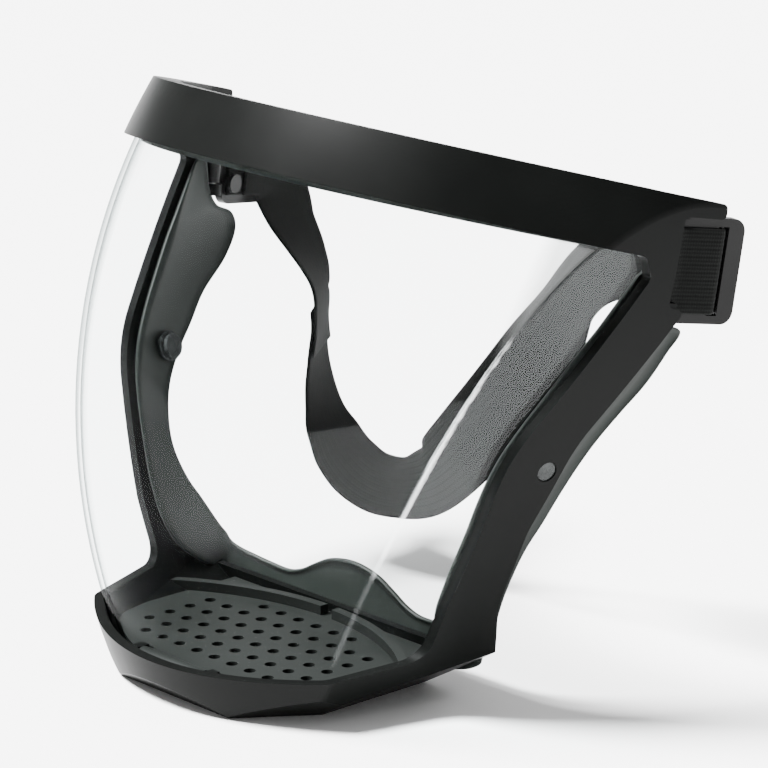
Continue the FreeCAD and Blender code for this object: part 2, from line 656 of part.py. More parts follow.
# its lower edge is relieved over the grille hinge
relief = box("LensRelief", "2 * Sizes.lug_inner + 2 * Sizes.lug_width + 2", "40",
             "Sizes.lug_foot + Sizes.lug_rise + 0.6",
             (-size["lug_inner"] - size["lug_width"] - 1, -65, 0))
lens = boolean("Cut", "Lens", lens_sheet, join("LensCuts", [stud_holes, relief]))

# ---- brow liner behind the top edge of the lens
liner = shell_piece("BrowLiner", liner_out, liner_in, liner_outline)

# ---- face seal: side strips joined by a chin flap with a central hump
strips = shell_piece("SealStrips", seal_out, seal_in, seal_outline)
flap_sketch = doc.addObject("Sketcher::SketchObject", "SealFlapOutline")
place(flap_sketch, (0, size["flap_y"] + size["flap_thick"], 0), FRONT_VIEW)
half_flap = [
    (0.0, size["flap_high"]),
    (0.55 * size["hump_half"], size["flap_high"] - 2.2),
    (size["hump_half"], size["flap_low"] + 2.0),
    (1.45 * size["hump_half"], size["flap_low"]),
    (2.1 * size["hump_half"], size["flap_low"] + 0.2),
    (2.6 * size["hump_half"], size["flap_low"] + 2.8),
    (2.9 * size["hump_half"], size["flap_low"] + 7.0),
    (64.6, size["flap_low"] + 9.0),
    (62.2, size["flap_low"] - 0.2),
    (57.6, size["flap_base"] + 6.2),
    (46.0, size["flap_base"]),
]
flap_points = half_flap + [(-x, z) for x, z in reversed(half_flap[1:])]
flap_points = [Vector(x, z, 0) for x, z in flap_points]
for i in range(len(flap_points)):
    flap_sketch.addGeometry(Part.LineSegment(flap_points[i], flap_points[(i + 1) % len(flap_points)]))
flap = doc.addObject("Part::Extrusion", "SealFlap")
flap.Base = flap_sketch
flap.DirMode = "Custom"
flap.Dir = Vector(0, -1, 0)
flap.Solid = True
bind(flap, LengthFwd="Sizes.flap_thick")
seal_body = join("SealBody", [strips, flap])
seal = boolean("Cut", "FaceSeal", seal_body, stud_holes)
doc.recompute()

# ---- breathing grille, hinged on a pin at the front of the tray
flare_grille = flare("FlareGrille", size["tray_inset"])
slab = box("GrilleSlab", "2 * Sizes.prism_width", "Sizes.prism_width + Sizes.grille_rear",
           "Sizes.grille_thick", (-size["prism_width"], -size["prism_width"], size["grille_base"]))
plate = overlap("GrillePlate", [tray_in, flare_grille, slab])
bead_out = cylinder("BeadOuter", "Sizes.bead_arc", "Sizes.bead_height + Sizes.grille_thick / 2",
                    (0, size["grille_rear"] - 1.4 - size["bead_arc"],
                     size["grille_base"] + size["grille_thick"] / 2))
bead_in = cylinder("BeadInner", "Sizes.bead_arc - Sizes.bead_width", "Sizes.bead_height * 3",
                   (0, size["grille_rear"] - 1.4 - size["bead_arc"], size["grille_base"]))
bead_ring = boolean("Cut", "BeadRing", bead_out, bead_in)
bead_room = box("BeadRoom", "2 * Sizes.bead_arc", "Sizes.bead_arc", "Sizes.bead_height * 4",
                (-size["bead_arc"], 0, size["grille_base"]))
bead = overlap("Bead", [bead_ring, bead_room, tray_in, flare_grille])
knuckle = cylinder("GrilleKnuckle", "Sizes.knuckle_diameter / 2", "2 * Sizes.lug_inner - 0.6",
                   (0.3 - size["lug_inner"], size["axle_y"], size["axle_z"]),
                   Rotation(Vector(0, 1, 0), 90))
grille_solid = join("GrilleSolid", [plate, bead, knuckle])
doc.recompute()

HOLE_ROWS = 6
HOLE_COLUMNS = 5
hole_sketch = doc.addObject("Sketcher::SketchObject", "BreathingHoles")
place(hole_sketch, (0, 0, size["grille_base"] - 1))
holes = 0
for row in range(HOLE_ROWS):
    for column in range(HOLE_COLUMNS):
        for sign in (-1, 1):
            x = sign * (column + 0.5) * size["hole_pitch"]
            y = 13.6 - row * size["hole_pitch"]
            reach = math.sqrt((size["bead_arc"] - 6.5) ** 2 - x * x) - size["bead_arc"]
            if y > reach + size["grille_rear"] - 1.4 or 0.8 * abs(x) - 0.6 * y > 41.0:
                continue
            hole_sketch.addGeometry(Part.Circle(Vector(x, y, 0), Vector(0, 0, 1), 1.8))
            if holes == 0:
                n = hole_sketch.addConstraint(
                    Sketcher.Constraint("Radius", 0, size["hole_diameter"] / 2))
                hole_sketch.setExpression("Constraints[%d]" % n, "Sizes.hole_diameter / 2")
            else:
                hole_sketch.addConstraint(Sketcher.Constraint("Equal", 0, holes))
            holes += 1
punch = doc.addObject("Part::Extrusion", "HolePunch")
punch.Base = hole_sketch
punch.DirMode = "Custom"
punch.Dir = Vector(0, 0, 1)
punch.Solid = True
bind(punch, LengthFwd="Sizes.grille_thick + 2")
notch = box("BeadNotch", "Sizes.bead_notch", "12", "Sizes.bead_height * 2",
            (-size["bead_notch"] / 2, size["grille_rear"] - 8,
             size["grille_base"] + size["grille_thick"]))
axle_bore = cylinder("AxleBore", "Sizes.axle_diameter / 2 + Sizes.axle_clearance",
                     "Sizes.axle_length + 4", (-size["axle_length"] / 2 - 2, size["axle_y"],
                                               size["axle_z"]), Rotation(Vector(0, 1, 0), 90))
lug_rooms = []
for k, sign in enumerate((-1, 1)):
    start = sign * size["lug_inner"] - (size["lug_width"] if sign < 0 else 0) - 0.4
    lug_rooms.append(box("LugRoom%d" % k, "Sizes.lug_width + 0.8", "Sizes.lug_depth + 7.8", "8",
                         (start, size["lug_front"] - 6.0, size["grille_base"] - 3)))
grille_cuts = join("GrilleCuts", [punch, notch, axle_bore] + lug_rooms)
grille = boolean("Cut", "ChinGrille", grille_solid, grille_cuts)
grille_pin = cylinder("GrillePin", "Sizes.axle_diameter / 2", "Sizes.axle_length",
                      (-size["axle_length"] / 2, size["axle_y"], size["axle_z"]),
                      Rotation(Vector(0, 1, 0), 90))

# ---- filter pad and the slotted cover that holds it from below
pad = rounded_block("FilterPad", "Sizes.pad_length", "Sizes.pad_depth", "Sizes.pad_thick",
                    "Sizes.vent_round", (0, size["vent_y"], size["pad_base"]))
flange = rounded_block("CoverFlange", "Sizes.vent_length + 2 * Sizes.cover_flange",
                       "Sizes.vent_depth + 2 * Sizes.cover_flange", "Sizes.cover_thick",
                       "Sizes.vent_round", (0, size["vent_y"], size["sole_wall"] + 0.1))
plug = rounded_block("CoverPlug", "Sizes.vent_length - 2 * Sizes.cover_gap",
                     "Sizes.vent_depth - 2 * Sizes.cover_gap",
                     "Sizes.sole_wall + 0.2 - Sizes.cover_base", "Sizes.vent_round - Sizes.cover_gap",
                     (0, size["vent_y"], size["cover_base"]))
cover_solid = join("CoverSolid", [flange, plug])
SLOTS = 8
slots = []
for k in range(SLOTS):
    x = (k - (SLOTS - 1) / 2) * size["slot_pitch"] - size["slot_width"] / 2
    slots.append(box("CoverSlot%d" % k, "Sizes.slot_width", "Sizes.slot_length", "10",
                     (x, size["vent_y"] - size["slot_length"] / 2, -1)))
cover = boolean("Cut", "FilterCover", cover_solid, join("CoverSlots", slots))
doc.recompute()

# ---- studs and washers that hold the lens, on the wearer's left; the right side is mirrored
stud_point, stud_normal = stud_axes[1]
inward = Rotation(Vector(0, 0, 1), stud_normal * -1)


def at_depth(depth):
    return stud_point - stud_normal * depth


shank = cylinder("StudShank", "Sizes.stud_shank / 2", "Sizes.stud_length",
                 at_depth(size["stud_sink"]), inward)
head = cylinder("StudHead", "Sizes.stud_head / 2", "Sizes.stud_head_thick",
                at_depth(size["stud_sink"] + size["stud_length"] - 0.2), inward)
stud = join("Stud", [shank, head])
disc = cylinder("WasherDisc", "Sizes.washer_diameter / 2", "Sizes.washer_thick",
                at_depth(size["washer_depth"]), inward)
disc_bore = cylinder("WasherBore", "Sizes.washer_bore / 2", "Sizes.washer_thick + 2",
                     at_depth(size["washer_depth"] - 1), inward)
washer = boolean("Cut", "Washer", disc, disc_bore)

# ---- strap buckle on its hinge pin; local X outwards, local Y rearwards, local Z up the pin
point, normal, rear = side_frame(size["hinge_y"], size["hinge_z"], size["hinge_depth"], 1)
flat = Vector(normal.x, normal.y, 0).normalize()
lean = math.radians(size["hinge_lean"])
up = Vector(0, 0, 1) * math.cos(lean) + rear * math.sin(lean)
back = rear * math.cos(lean) - Vector(0, 0, 1) * math.sin(lean)
hinge = Rotation(flat, back, up, "ZYX")
FLAT_ON = Rotation(back, up, flat, "ZXY")


def local(x, y, z):
    return point + flat * x + back * y + up * z


def local_box(name, length, width, height, corner):
    """A block in the hinge frame, given by its lowest corner."""
    obj = box(name, length, width, height, (0, 0, 0))
    obj.Placement = Placement(local(*corner), hinge)
    return obj


thick = size["buckle_thick"]
plate_y = size["buckle_start"] + size["buckle_length"] / 2
plate_z = -size["buckle_drop"]
buckle_plate = rounded_block("BucklePlate", "Sizes.buckle_length", "Sizes.buckle_height",
                             "Sizes.buckle_thick", "Sizes.buckle_round",
                             local(-thick / 2, plate_y, plate_z), FLAT_ON)
buckle_knuckle = cylinder("BuckleKnuckle", "Sizes.knuckle_diameter / 2", "Sizes.knuckle_length",
                          local(0, 0, -size["knuckle_length"] / 2), Rotation(Vector(0, 0, 1), up))
neck = local_box("BuckleNeck", "Sizes.buckle_thick", "Sizes.buckle_start + 1.5",
                 "Sizes.knuckle_length", (-thick / 2, 0, -size["knuckle_length"] / 2))
buckle_solid = join("BuckleSolid", [buckle_plate, buckle_knuckle, neck])
pin_bore = cylinder("BuckleBore", "Sizes.hinge_pin / 2 + Sizes.hinge_clearance",
                    "Sizes.knuckle_length + 2", local(0, 0, -size["knuckle_length"] / 2 - 1),
                    Rotation(Vector(0, 0, 1), up))
slot_y = size["buckle_start"] + size["buckle_length"] - size["buckle_bar"] - size["buckle_slot"]
slot = local_box("BuckleSlot", "8", "Sizes.buckle_slot", "Sizes.web_width + 1",
                 (-4, slot_y, plate_z - size["web_width"] / 2 - 0.5))
rivet_y = size["rivet_back"]
rivet_z = plate_z - size["rivet_low"]
rivet_hole = cylinder("RivetHole", "Sizes.rivet_shank / 2 + 0.1", "10",
                      local(-5, rivet_y, rivet_z), Rotation(Vector(0, 0, 1), flat))
buckle = boolean("Cut", "Buckle", buckle_solid, join("BuckleCuts", [pin_bore, slot, rivet_hole]))
pin = cylinder("HingePin", "Sizes.hinge_pin / 2",
               "Sizes.knuckle_length + 2 * Sizes.lug_gap + 2 * Sizes.pin_seat - 0.1",
               local(0, 0, -size["knuckle_length"] / 2 - size["lug_gap"] - size["pin_seat"] + 0.05),
               Rotation(Vector(0, 0, 1), up))

# ---- webbing loop through the buckle slot, and the rivet that closes it
gauge = size["web_gauge"]
gap = size["web_gap"]
web_z = plate_z - size["web_width"] / 2
outer_leg = local_box("LoopOuterLeg", "Sizes.web_gauge", "%g" % (slot_y + 2.5 - size["web_start"]),
                      "Sizes.web_width", (thick / 2 + gap, size["web_start"], web_z))
inner_leg = local_box("LoopInnerLeg", "Sizes.web_gauge", "%g" % (slot_y + 2.5 - size["web_start"]),
                      "Sizes.web_width", (-thick / 2 - gap - gauge, size["web_start"], web_z))
crossing = local_box("LoopCrossing", "Sizes.buckle_thick + 2 * Sizes.web_gap + 2 * Sizes.web_gauge",
                     "Sizes.web_gauge", "Sizes.web_width",
                     (-thick / 2 - gap - gauge, slot_y + 2.5 - gauge, web_z))
loop_hole = cylinder("LoopHole", "Sizes.rivet_shank / 2 + 0.1", "%g" % (thick / 2 + 4.0),
                     local(-thick / 2 - 4.0, rivet_y, rivet_z), Rotation(Vector(0, 0, 1), flat))
loop = boolean("Cut", "StrapLoop", join("LoopSolid", [outer_leg, inner_leg, crossing]), loop_hole)
rivet_head = cylinder("RivetHead", "Sizes.rivet_diameter / 2", "1.2",
                      local(-thick / 2 - gap - gauge - 0.1 - 1.2, rivet_y, rivet_z),
                      Rotation(Vector(0, 0, 1), flat))
rivet_shank = cylinder("RivetShank", "Sizes.rivet_shank / 2", "%g" % (thick + gap + gauge + 0.2),
                       local(-thick / 2 - gap - gauge - 0.2, rivet_y, rivet_z),
                       Rotation(Vector(0, 0, 1), flat))
rivet = join("StrapRivet", [rivet_head, rivet_shank])
doc.recompute()

# ---- elastic strap hanging behind the shield, as drawn on its vertical plane
STRAP = [
    (91.0, 130.0, 12.0), (62.0, 118.0, 11.0), (36.0, 94.0, 11.0), (5.0, 60.0, 12.0),
    (-22.0, 38.0, 11.0), (-48.0, 25.0, 8.0), (-66.0, 29.0, 8.0), (-77.0, 45.0, 8.0),
    (-82.0, 62.0, 6.0), (-83.0, 77.0, 4.0), (-85.0, 94.0, 6.0), (-89.0, 112.0, 9.0),
    (-91.0, 130.0, 12.0),
]
one_side = []
other_side = []
for k, (x, z, half) in enumerate(STRAP):
    ahead = STRAP[min(k + 1, len(STRAP) - 1)]
    behind = STRAP[max(k - 1, 0)]
    run = Vector(ahead[0] - behind[0], ahead[1] - behind[1], 0).normalize()
    across = Vector(-run.y, run.x, 0) * half
    one_side.append(Vector(x, z, 0) + across)
    other_side.append(Vector(x, z, 0) - across)
strap_sketch = doc.addObject("Sketcher::SketchObject", "StrapOutline")
place(strap_sketch, (0, size["strap_y"], 0), FRONT_VIEW)
strap_sketch.setExpression("Placement.Base.y", "Sizes.strap_y")
ring = one_side + other_side[::-1]
for i in range(len(ring)):
    strap_sketch.addGeometry(Part.LineSegment(ring[i], ring[(i + 1) % len(ring)]))
strap = doc.addObject("Part::Extrusion", "HeadStrap")
strap.Base = strap_sketch
strap.DirMode = "Custom"
strap.Dir = Vector(0, -1, 0)
strap.Solid = True
bind(strap, LengthFwd="Sizes.web_gauge")
doc.recompute()


def mirrored(name, source):
    obj = doc.addObject("Part::Mirroring", name)
    obj.Source = source
    obj.Normal = Vector(1, 0, 0)
    obj.Base = Vector(0, 0, 0)
    return obj


publish(frame, "frame")
publish(lens, "lens")
publish(liner, "brow_liner")
publish(seal, "face_seal")
publish(grille, "chin_grille")
publish(grille_pin, "grille_pin")
publish(pad, "filter_pad")
publish(cover, "filter_cover")
publish(strap, "head_strap")
for source, label in ((stud, "lens_stud"), (washer, "lens_washer"), (buckle, "strap_buckle"),
                      (pin, "buckle_pin"), (loop, "strap_loop"), (rivet, "strap_rivet")):
    publish(source, label + "_left")
    publish(mirrored(source.Name + "Right", source), label + "_right")
doc.recompute()

for obj in doc.Objects:
    if "Invalid" in obj.State or "Error" in obj.State:
        raise RuntimeError("%s is %s" % (obj.Label, obj.State))

os.makedirs("parts", exist_ok=True)
for label, obj in EXPORT:
    shape = obj.Shape
    if shape.isNull() or not shape.isValid() or len(shape.Solids) != 1:
        raise RuntimeError("%s: %d solids, valid %s" % (label, len(shape.Solids), shape.isValid()))
    shape.exportStep("parts/%s.step" % label)
    print("%-18s %9.0f mm3" % (label, shape.Volume))
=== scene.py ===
import bpy
import json
import math
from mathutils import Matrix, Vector


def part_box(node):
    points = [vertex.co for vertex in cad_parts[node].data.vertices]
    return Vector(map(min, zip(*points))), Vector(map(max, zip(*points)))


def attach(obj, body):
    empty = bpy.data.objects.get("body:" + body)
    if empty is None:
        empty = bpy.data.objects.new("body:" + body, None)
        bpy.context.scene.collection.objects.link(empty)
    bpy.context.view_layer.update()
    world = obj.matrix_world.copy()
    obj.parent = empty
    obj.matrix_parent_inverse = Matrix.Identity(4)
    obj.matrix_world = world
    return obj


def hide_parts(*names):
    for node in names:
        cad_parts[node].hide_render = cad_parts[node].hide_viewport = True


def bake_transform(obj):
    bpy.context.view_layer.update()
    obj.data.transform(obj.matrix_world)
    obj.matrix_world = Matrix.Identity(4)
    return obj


# A full-face shield. The hard pieces come from the CAD and get materials here. The face seal, the filter pad,
# the webbing loops and the head strap are modelled here. Shapes are in millimetres until they go into a mesh.

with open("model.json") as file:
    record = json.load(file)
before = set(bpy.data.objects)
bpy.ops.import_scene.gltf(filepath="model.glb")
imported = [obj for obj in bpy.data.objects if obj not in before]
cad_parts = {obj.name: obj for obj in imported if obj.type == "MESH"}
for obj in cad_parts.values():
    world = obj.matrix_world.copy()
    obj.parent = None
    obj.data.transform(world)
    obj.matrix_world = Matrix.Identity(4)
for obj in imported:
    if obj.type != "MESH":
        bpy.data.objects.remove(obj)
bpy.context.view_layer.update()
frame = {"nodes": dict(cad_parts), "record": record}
MM = 0.001

# ---------------------------------------------------------------- shape helpers


def spline(points, steps):
    """Catmull-Rom through tuples of numbers."""
    out = []
    last = len(points) - 1
    for i in range(last):
        around = (points[max(i - 1, 0)], points[i], points[i + 1], points[min(i + 2, last)])
        for k in range(steps):
            t = k / steps
            out.append(tuple(
                0.5 * (2 * b + (c - a) * t + (2 * a - 5 * b + 4 * c - d) * t * t
                       + (3 * b - a - 3 * c + d) * t ** 3)
                for a, b, c, d in zip(*around)))
    out.append(tuple(points[-1]))
    return out


def loft(name, rings, uvs=None):
    """A closed tube with flat ends through rings of points."""
    mesh = bpy.data.meshes.new(name)
    n = len(rings[0])
    verts = [Vector(p) * MM for ring in rings for p in ring]
    faces = []
    for r in range(len(rings) - 1):
        for k in range(n):
            a = r * n + k
            b = r * n + (k + 1) % n
            faces.append((a, b, b + n, a + n))
    faces.append(tuple(range(n))[::-1])
    faces.append(tuple((len(rings) - 1) * n + k for k in range(n)))
    mesh.from_pydata(verts, [], faces)
    if uvs:
        layer = mesh.uv_layers.new(name="UVMap")
        for poly in mesh.polygons:
            for li in poly.loop_indices:
                vi = mesh.loops[li].vertex_index
                layer.data[li].uv = uvs[vi // n][vi % n]
    mesh.polygons.foreach_set("use_smooth", [len(p.vertices) == 4 for p in mesh.polygons])
    mesh.update()
    obj = bpy.data.objects.new(name, mesh)
    bpy.context.scene.collection.objects.link(obj)
    volume = sum((verts[p.vertices[0]].cross(verts[p.vertices[1]])).dot(verts[p.vertices[2]])
                 for p in mesh.polygons)
    if volume < 0:
        mesh.flip_normals()
    return obj


def flip(v):
    """The same point or direction on the other side of the shield."""
    return Vector((-v.x, v.y, v.z))


# ---------------------------------------------------------------- side walls, as in the CAD

SIDE_RADIUS = 295.0
SIDE_TOE = math.radians(12.73)
SIDE_REACH = 90.3
SIDE_LEVEL = 149.3


def side_point(y, z, depth):
    """A point of the left wall at a depth below its outer surface."""
    r = SIDE_RADIUS - depth
    reach = SIDE_REACH - SIDE_RADIUS + math.sqrt(r * r - (z - SIDE_LEVEL) ** 2)
    return Vector(((reach + y * math.sin(SIDE_TOE)) / math.cos(SIDE_TOE), y, z))


# ---------------------------------------------------------------- face seal

ROOT_DEPTH = 5.6
EDGE_DEPTH = 6.6
LIP = 1.2
BEAD = 1.0
BULGE = 0.35
CHIN_WALL = 30.2
SIDE_INWARD = Vector((-0.97, 0.22, 0.0))

# (y, z) down a side wall, from the temple to the chin: where the lip starts, and its free edge on each side
ROOT = [(53.0, 131.0), (49.0, 126.0), (45.0, 121.0), (41.0, 116.0), (37.5, 112.0), (33.5, 107.0),
        (28.5, 100.5), (22.0, 92.0), (16.5, 83.5), (13.0, 75.5), (11.0, 67.0), (9.8, 58.0),
        (8.6, 49.0), (7.8, 40.0), (8.2, 31.0), (12.0, 21.5), (21.0, 14.0)]
FREE_LEFT = [(56.0, 132.5), (56.2, 127.0), (56.6, 121.0), (59.5, 115.6), (68.5, 111.8), (65.0, 105.5),
             (59.5, 97.0), (52.5, 89.0), (46.2, 81.0), (41.5, 73.0), (37.8, 64.8), (34.8, 56.5),
             (31.8, 48.5), (30.4, 40.5), (30.0, 32.5), (30.6, 25.5), (31.6, 21.0)]
# the right lip lies closer to its arm in the photograph
FREE_RIGHT = [(56.0, 132.5), (56.2, 127.0), (56.6, 121.5), (59.5, 116.0), (66.5, 112.3), (67.5, 106.5),
              (60.5, 98.8), (48.0, 91.0), (39.5, 83.0), (31.0, 75.5), (24.0, 67.0), (20.4, 58.0),
              (19.4, 49.0), (22.0, 39.5), (26.0, 32.0), (29.4, 25.0), (31.5, 21.0)]
# across the left half of the chin: x, z of the root, y and z of the free edge
CHIN = [(58.5, 10.0, 32.6, 18.0), (54.0, 6.6, 32.8, 16.6), (46.0, 4.4, 32.9, 15.8),
        (38.0, 4.2, 33.0, 15.2), (30.0, 4.2, 33.0, 15.0), (24.0, 4.2, 33.0, 16.6),
        (18.0, 4.2, 33.0, 19.8), (12.0, 4.2, 33.0, 22.8), (6.0, 4.2, 33.0, 24.4),
        (0.0, 4.2, 33.0, 25.0)]


def wall_lip(free):
    """(root, free edge, direction towards the face) down the left wall."""
    return [(side_point(ry, rz, ROOT_DEPTH), side_point(ey, ez, EDGE_DEPTH), SIDE_INWARD)
            for (ry, rz), (ey, ez) in zip(ROOT, free)]


def chin_lip():
    """(root, free edge, direction towards the face) from the left corner to the middle of the chin."""
    out = []
    for x, rz, ey, ez in CHIN:
        corner = min(1.0, max(0.0, (x - 46.0) / 15.0))
        inward = Vector((-0.8 * corner, -1.0 + 0.5 * corner, 0.0)).normalized()
        out.append((Vector((x, CHIN_WALL, rz)), Vector((x, ey, ez)), inward))
    return out


def flipped(stations):
    return [tuple(flip(v) for v in station) for station in reversed(stations)]


def lip_section(root, edge, inward):
    """Wall side of the lip, its rolled edge, then the side towards the face."""
    run = edge - root
    length = run.length
    t = run.normalized()
    n = (inward - t * inward.dot(t)).normalized()
    shares = [k / 8 for k in range(9)]
    ring = [root + t * (length * s) - n * (BULGE * math.sin(math.pi * s)) for s in shares]
    for k in range(7):
        a = -math.pi / 2 + math.pi * k / 6
        ring.append(edge + t * (0.2 + BEAD * math.cos(a)) + n * (LIP / 2 + BEAD * math.sin(a)))
    for s in reversed(shares):
        ring.append(root + t * (length * s) + n * (LIP - BULGE * math.sin(math.pi * s)))
    return ring


def face_seal():
    chin = chin_lip()
    stations = wall_lip(FREE_LEFT) + chin + flipped(chin[:-1]) + flipped(wall_lip(FREE_RIGHT))
    rows = spline([tuple(r) + tuple(e) + tuple(n) for r, e, n in stations], 6)
    rings = [lip_section(Vector(row[:3]), Vector(row[3:6]), Vector(row[6:]).normalized()) for row in rows]
    lip = loft("FaceSealLip", rings)
    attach(lip, "shield")
    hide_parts("face_seal")
    return lip


# ---------------------------------------------------------------- filter pad

PAD_SQUARENESS = 0.28
PAD_POINTS = 64


def filter_pad():
    """A flat sewn pad: a rounded rectangle with a seam groove near its edge, above and below."""
    lo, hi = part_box("filter_pad")
    lo, hi = Vector(lo) / MM, Vector(hi) / MM
    mid = (lo + hi) / 2
    half = (hi - lo) / 2

    def outline(inset, z):
        ring = []
        for k in range(PAD_POINTS):
            a = 2 * math.pi * k / PAD_POINTS
            c, s = math.cos(a), math.sin(a)
            x = math.copysign(abs(c) ** PAD_SQUARENESS, c) * (half.x - inset)
            y = math.copysign(abs(s) ** PAD_SQUARENESS, s) * (half.y - inset)
            ring.append(Vector((mid.x + x, mid.y + y, z)))
        return ring

    # (inset from the outline, height): bottom middle, seam, edge, seam, top middle
    centre, between = half.x * 0.96, half.x * 0.5
    profile = ((centre, 0.0), (between, 0.0), (6.0, 0.02), (3.2, 0.55), (2.0, 0.15), (0.7, 0.5),
               (0.05, 1.2), (0.05, 2.0), (0.7, 2.7), (2.0, 3.05), (3.2, 2.65), (6.0, 3.18),
               (between, 3.2), (centre, 3.2))
    cushion = loft("FilterPadSewn", [outline(min(inset, half.y * 0.97), lo.z + h) for inset, h in profile])
    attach(cushion, "shield")
    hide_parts("filter_pad")
    return cushion


# ---------------------------------------------------------------- webbing

WEB_WIDTH = 25.0
WEB_RIBS = 11
LOOP_GAUGE = 1.15
STRAP_GAUGE = 1.3
SEWN_END = 12.0
PLATE_Z = -3.4
REAR = 91.0
SIDES = ((1, "left"), (-1, "right"))


def web_section(gauge):
    """Cross-section of ribbed elastic: (across, thickness) pairs, with thin knitted edges."""
    steps = WEB_RIBS * 4
    top = []
    for k in range(steps + 1):
        s = k / steps
        edge = min(s, 1 - s) * WEB_WIDTH
        h = gauge / 2 * min(1.0, 0.45 + edge / 1.6)
        if edge > 0.8:
            h += 0.05 * math.cos(2 * math.pi * WEB_RIBS * s)
        top.append(((s - 0.5) * WEB_WIDTH, h))
    return top + [(a, -h) for a, h in reversed(top)]


def ribbon(name, stations, gauge, steps, pressed=0.0):
    """A band along stations of (centre, direction across), and its length.

    pressed is the length at the far end over which the sewn end thins out.
    """
    rows = spline([tuple(c) + tuple(w) for c, w in stations], steps)
    centres = [Vector(r[:3]) for r in rows]
    section = web_section(gauge)
    total = sum((b - a).length for a, b in zip(centres, centres[1:]))
    rings = []
    uvs = []
    run = 0.0
    for i, c in enumerate(centres):
        t = (centres[min(i + 1, len(centres) - 1)] - centres[max(i - 1, 0)]).normalized()
        across = Vector(rows[i][3:])
        u = (across - t * across.dot(t)).normalized()
        n = t.cross(u)
        if i:
            run += (c - centres[i - 1]).length
        thin = min(1.0, 0.35 + 0.65 * (total - run) / pressed) if pressed else 1.0
        rings.append([c + u * a + n * h * thin for a, h in section])
        uvs.append([(a * MM, run * MM) for a, h in section])
    return loft(name, rings, uvs), total


# the swivel of a buckle: its pin, and the directions outwards and rearwards from it
swivel = next(j for j in frame["record"]["behaviour"]["joints"] if j["name"] == "buckle_left_swivel")
PIN = Vector(swivel["pos_m"]) / MM
UP = Vector(swivel["axis"]).normalized()
OUT = Vector((math.cos(SIDE_TOE), -math.sin(SIDE_TOE), 0.0))
OUT = (OUT - UP * OUT.dot(UP)).normalized()
BACK = UP.cross(OUT)


def by_pin(out, back, up, sign):
    """A point by the buckle's pin on the left (sign 1) or the right (sign -1)."""
    p = PIN + OUT * out + BACK * back + UP * up
    return Vector((p.x * sign, p.y, p.z))


def behind(x, z, nearer=0.0):
    """A point in the vertical plane that the band hangs in, or a little nearer to the shield."""
    return Vector((x, REAR - nearer, z))


def strap_loop(sign, side):
    """Webbing out of the frame's notch, over the knuckle and round the buckle's bar."""
    route = [(3.35, -2.6), (3.45, -1.2), (3.5, 0.0), (3.3, 1.6), (2.75, 3.4), (2.4, 5.2), (2.35, 9.0),
             (2.35, 13.0), (2.3, 16.6), (2.0, 18.0), (1.2, 18.9), (0.0, 19.2), (-1.2, 18.9),
             (-2.0, 18.0), (-2.3, 16.6), (-2.35, 13.0), (-2.35, 9.0), (-2.35, 4.6)]
    up = Vector((UP.x * sign, UP.y, UP.z))
    stations = [(by_pin(out, back, PLATE_Z, sign), up) for out, back in route]
    loop, _ = ribbon("StrapLoop_" + side, stations, LOOP_GAUGE, 3)
    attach(loop, "buckle_" + side)
    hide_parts("strap_loop_" + side)
    return loop


# stations of (centre, direction across): each band starts at its buckle and ends in the overlap
NEAR = [
    (by_pin(-4.2, 12.0, PLATE_Z, 1), -UP),
    (by_pin(-4.4, 19.0, PLATE_Z - 0.3, 1), -UP),
    (by_pin(-7.0, 25.0, PLATE_Z - 1.0, 1), (0.05, -0.1, -0.99)),
    (behind(92.0, 124.3, 1.2), (0.12, -0.1, -0.98)),
    (behind(80.0, 124.0, 0.2), (0.05, -0.05, -0.99)),
    (behind(67.0, 123.5), (0.35, -0.40, -0.84)),
    (behind(50.0, 119.4), (0.32, -0.34, -0.88)),
    (behind(37.5, 109.3), (0.64, -0.33, -0.69)),
    (behind(28.0, 94.8), (0.83, -0.05, -0.56)),
    (behind(15.0, 78.6), (0.69, 0.38, -0.62)),
    (behind(-3.5, 57.6), (0.60, 0.37, -0.71)),
    (behind(-17.0, 43.5), (0.75, 0.14, -0.65)),
    (behind(-28.5, 33.8), (0.88, -0.18, -0.44)),
    (behind(-39.5, 29.4), (0.68, -0.55, -0.47)),
    (behind(-50.5, 27.2), (0.55, -0.72, -0.40)),
    (behind(-61.0, 28.6), (0.42, -0.83, -0.36)),
    (behind(-69.0, 33.0), (0.30, -0.90, -0.30)),
    (behind(-74.8, 39.5), (0.31, -0.93, -0.18)),
    (behind(-79.0, 46.0), (0.38, -0.92, 0.01)),
    (behind(-81.5, 54.0), (0.45, -0.88, 0.14)),
    (behind(-82.5, 63.0, -0.1), (0.54, -0.80, 0.24)),
    (behind(-81.9, 74.0, 0.1), (0.60, -0.74, 0.30)),
    (behind(-81.3, 82.0, 0.5), (0.58, -0.76, 0.30)),
]
FAR = [
    (by_pin(-4.2, 12.0, PLATE_Z, -1), flip(-UP)),
    (by_pin(-4.4, 19.0, PLATE_Z - 0.3, -1), flip(-UP)),
    (by_pin(-4.0, 25.5, PLATE_Z - 1.4, -1), (0.05, -0.3, -0.95)),
    (behind(-100.5, 116.5), (0.25, -0.80, -0.55)),
    (behind(-96.0, 107.5), (0.36, -0.92, -0.17)),
    (behind(-88.5, 98.5), (0.42, -0.91, 0.03)),
    (behind(-83.0, 91.0), (0.50, -0.84, 0.16)),
    (behind(-80.4, 84.0), (0.58, -0.76, 0.30)),
    (behind(-81.0, 74.0, -0.6), (0.60, -0.74, 0.30)),
    (behind(-81.3, 66.0, -0.8), (0.56, -0.79, 0.26)),
]


def head_strap(side, stations):
    """One elastic band along its stations."""
    band, length = ribbon("HeadStrap_" + side, stations, STRAP_GAUGE, 8, SEWN_END)
    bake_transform(band)
    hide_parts("head_strap")
    return band


